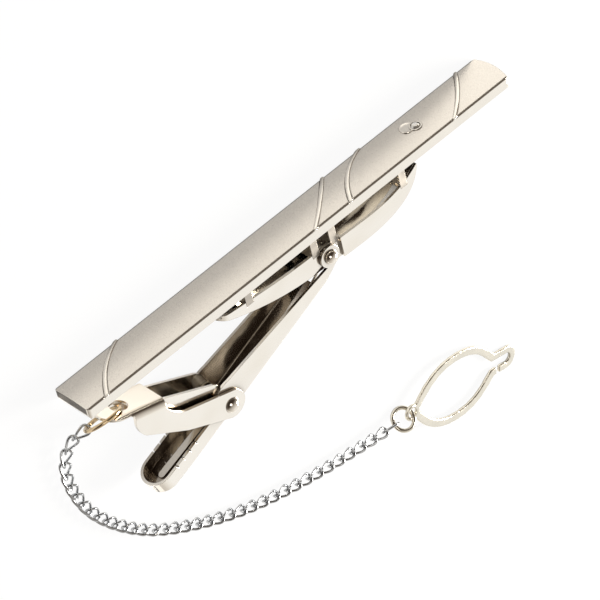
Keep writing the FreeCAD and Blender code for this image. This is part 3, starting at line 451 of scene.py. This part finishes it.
# The arm coil's free end lies along the inside of the arm and presses on its web.
low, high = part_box("arm_spring")
arm_turn, leg_start, leg_end = math.radians(22), (0.0, 0.00066), (0.0046, 0.00164)
along = Vector((leg_end[0] - leg_start[0], leg_end[1] - leg_start[1], 0))
form = bmesh.new()
bmesh.ops.create_circle(form, segments=wire_sides, radius=spring_wire / 2, cap_ends=True,
                        matrix=along.to_track_quat("Z", "Y").to_matrix().to_4x4())
pushed = bmesh.ops.extrude_face_region(form, geom=form.faces[:])["geom"]
far_end = [item for item in pushed if isinstance(item, bmesh.types.BMVert)]
bmesh.ops.translate(form, verts=far_end, vec=along)
bmesh.ops.translate(form, verts=form.verts, vec=(*leg_start, (high.z - low.z) / 2 - spring_wire))
bmesh.ops.rotate(form, verts=form.verts, cent=(0, 0, 0), matrix=Matrix.Rotation(arm_turn, 3, "Z"))
bmesh.ops.translate(form, verts=form.verts, vec=(low + high) / 2)
stand(form, "arm_coil_leg", spring_steel, "arm")


# Jump ring: brass wire bent round and butted shut, lightly gilt, through the hole in the jaw's tongue.
# Gilt brass: a thin yellow wash over bright wire, warm against the nickel.

def laid(centre, long, broad):
    """The place of a flat form, from its middle and its long and broad directions."""
    return Matrix.Translation(centre) @ Matrix((long, broad, long.cross(broad))).transposed().to_4x4()


def pose_of(node):
    """Where a flat solid lies: its middle, and its long and broad directions."""
    corners = np.array([corner.co for corner in frame["nodes"][node].data.vertices])
    corners = np.unique(np.round(corners, 7), axis=0)
    centre = corners.mean(0)
    axes = np.linalg.eigh(np.cov((corners - centre).T))[1]
    return Vector(centre), Vector(axes[:, 2]), Vector(axes[:, 1])


def wire_ring(node, name, radius, wire, material):
    """A ring of round wire with a hairline joint."""
    joint = 0.03
    start = Matrix.Rotation(joint, 4, "Z") @ Matrix.Translation((radius, 0, 0))
    form = bmesh.new()
    bmesh.ops.create_circle(form, segments=16, radius=wire / 2, cap_ends=True,
                            matrix=start @ Matrix.Rotation(math.pi / 2, 4, "X"))
    bmesh.ops.spin(form, geom=form.faces[:], cent=(0, 0, 0), axis=(0, 0, 1), angle=2 * math.pi - joint,
                   steps=72)
    bmesh.ops.transform(form, matrix=laid(*pose_of(node)), verts=form.verts)
    stand(form, name, material, frame["nodes"][node]["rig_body"], [node])


gilt = worked_metal("gilt_brass_wire", base="#d2bd9b", roughness=0.12, soft_edge=0.02, grain=0.2,
                    painted_shade_colour="#6b4d2c", painted_shade_reach=0.5)
wire_ring("jump_ring", "jump_ring_wire", radius=0.0020, wire=0.00045, material=gilt)


# Safety chain: 37 small curb links of steel wire, each closed round the next. Every link but the last is
# twisted from end to end, so its ends stand a quarter turn to its neighbours' while all of them lie flat.
# Bright steel: barrel polished, a cool grey metal with dark and light flashes on every bend.
chain_steel = worked_metal("barrel_polished_steel", base="#bcbfc3", roughness=0.12, soft_edge=0.02, grain=0.2,
                           painted_shade_colour="#3e4042", painted_shade_reach=0.4)
link_count, link_twist = 37, math.radians(-48)
link_wire, link_inside, link_long = 0.00028, 0.00084, 0.00202
bend = (link_inside + link_wire) / 2
straight = link_long / 2 - bend
bend_steps, side_steps = 8, 6
for number in range(1, link_count + 1):
    node = "chain_link_%02d" % number
    start = Matrix.Translation((straight, -bend, 0)) @ Matrix.Rotation(math.pi / 2, 4, "Y")
    form = bmesh.new()
    bmesh.ops.create_circle(form, segments=wire_sides, radius=link_wire / 2, matrix=start)
    corners, last = form.verts[:], form.edges[:]
    for end in (1, -1):
        turned = bmesh.ops.spin(form, geom=corners + last, cent=(end * straight, 0, 0), axis=(0, 0, 1),
                                angle=math.pi, steps=bend_steps)
        last = [item for item in turned["geom_last"] if isinstance(item, bmesh.types.BMEdge)]
        for step in range(side_steps):
            drawn = bmesh.ops.extrude_edge_only(form, edges=last)["geom"]
            corners = [item for item in drawn if isinstance(item, bmesh.types.BMVert)]
            bmesh.ops.translate(form, verts=corners, vec=(-2 * end * straight / side_steps, 0, 0))
            last = [item for item in drawn if isinstance(item, bmesh.types.BMEdge)
                    and set(item.verts) <= set(corners)]
    centre, long, broad = pose_of(node)
    if number < link_count:
        for corner in form.verts:
            corner.co.rotate(Matrix.Rotation(link_twist * corner.co.x * 2 / link_long, 3, "X"))
        broad = Vector((0, 0, 1)).cross(long).normalized()
    bmesh.ops.transform(form, matrix=laid(centre, long, broad), verts=form.verts)
    stand(form, "link_wire_%02d" % number, chain_steel, frame["nodes"][node]["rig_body"],
          [node])


# End ring: a small ring of nickel-plated wire, butted shut between the chain's last link and the loop.
# Soft nickel: tumbled, not buffed, so it is a pale cream metal with a low shine.
soft_nickel = worked_metal("tumbled_nickel_plate", base="#e3ded1", roughness=0.2, soft_edge=0.03, grain=0.2,
                           painted_shade_colour="#8d8474", painted_shade_reach=0.5)
wire_ring("end_ring", "end_ring_wire", radius=0.00125, wire=0.00046, material=soft_nickel)


# Button loop: a flat almond-shaped band with an open nub, stamped from brass sheet, tumbled until its edges
# are round, and nickel plated. It slips over a shirt button.
# The blank is given even faces and smoothed a thousand times larger, in millimetres.
voxel, smoothings, enlarged, seam = 0.07, 8, 1000, 1e-6
form = bmesh.new()
form.from_mesh(frame["nodes"]["button_loop"].data)
bmesh.ops.remove_doubles(form, verts=form.verts, dist=seam)
bmesh.ops.scale(form, vec=[enlarged] * 3, verts=form.verts)
blank_mesh = bpy.data.meshes.new("loop_blank")
form.to_mesh(blank_mesh)
form.free()
blank = bpy.data.objects.new("loop_blank", blank_mesh)
scene.collection.objects.link(blank)
remesh = blank.modifiers.new("even_faces", "REMESH")
remesh.mode = "VOXEL"
remesh.voxel_size = voxel
stamping = bpy.data.meshes.new_from_object(blank.evaluated_get(bpy.context.evaluated_depsgraph_get()))
bpy.data.objects.remove(blank)
form = bmesh.new()
form.from_mesh(stamping)
for tumble in range(smoothings):
    bmesh.ops.smooth_vert(form, verts=form.verts, factor=0.5, use_axis_x=True, use_axis_y=True,
                          use_axis_z=True)
bmesh.ops.scale(form, vec=[1 / enlarged] * 3, verts=form.verts)
stand(form, "loop_stamping", soft_nickel, frame["nodes"]["button_loop"]["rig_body"],
      ["button_loop"])
